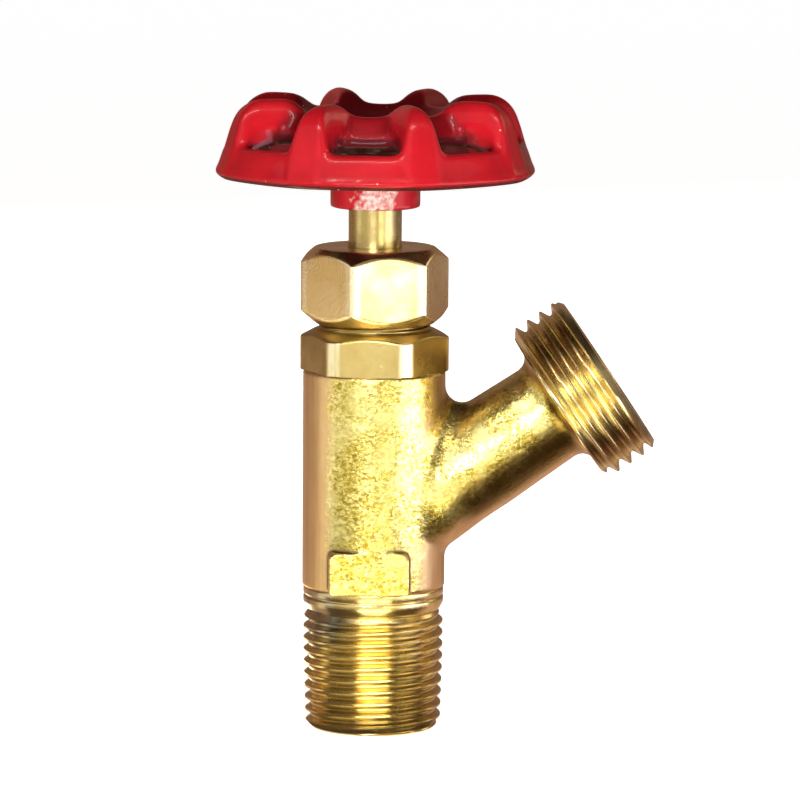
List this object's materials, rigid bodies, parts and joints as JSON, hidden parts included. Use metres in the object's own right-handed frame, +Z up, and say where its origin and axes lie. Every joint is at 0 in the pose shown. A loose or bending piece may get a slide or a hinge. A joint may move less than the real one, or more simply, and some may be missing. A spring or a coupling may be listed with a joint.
{
  "type": "angle valve",
  "caption": "Brass angle valve: tapered male thread below, hose-threaded arm to the side, hex bonnet and packing nut, rising stem and red handwheel with rounded lobes.",
  "frame": {"origin": "centre of the inlet's end face, where the tapered pipe thread starts", "axes": "+Z runs up the inlet, the seat and the stem; the hose arm leans towards +X, 34 degrees above level; +Y is behind the pictured side"},
  "size_m": [0.0669, 0.0488, 0.0962],
  "materials": {
    "forged_brass": "rough forged",
    "machined_brass": "machined",
    "stem_brass": "satin",
    "red_enamel": "gloss",
    "plated_steel": "zinc plated",
    "seat_rubber": "matte",
    "graphite_packing": "matte",
    "gasket_fibre": "matte"
  },
  "bodies": {
    "valve": {"valve_body": "forged_brass", "bonnet": "machined_brass", "bonnet_gasket": "gasket_fibre", "packing_washer": "machined_brass", "packing_ring_lower": "graphite_packing", "packing_ring_middle": "graphite_packing", "packing_ring_upper": "graphite_packing", "packing_gland": "machined_brass", "packing_nut": "machined_brass"},
    "disc": {"disc_holder": "machined_brass", "disc_retainer": "plated_steel", "seat_disc": "seat_rubber", "seat_disc_washer": "machined_brass", "seat_disc_screw": "machined_brass"},
    "spindle": {"stem": "stem_brass", "handwheel": "red_enamel", "handwheel_washer": "plated_steel", "handwheel_screw": "plated_steel"}
  },
  "joints": [
    {"name": "stem_rise", "type": "slide", "parent": "valve", "child": "disc", "axis": [0, 0, 1], "range_m": [0, 0.006]},
    {"name": "wheel_turn", "type": "hinge", "parent": "disc", "child": "spindle", "pos_m": [0, 0, 0.08], "axis": [0, 0, 1], "range_deg": [0, 990]}
  ],
  "couplings": [
    {"joint": "stem_rise", "follows": "wheel_turn", "m_per_rad": 0.00033689}
  ]
}
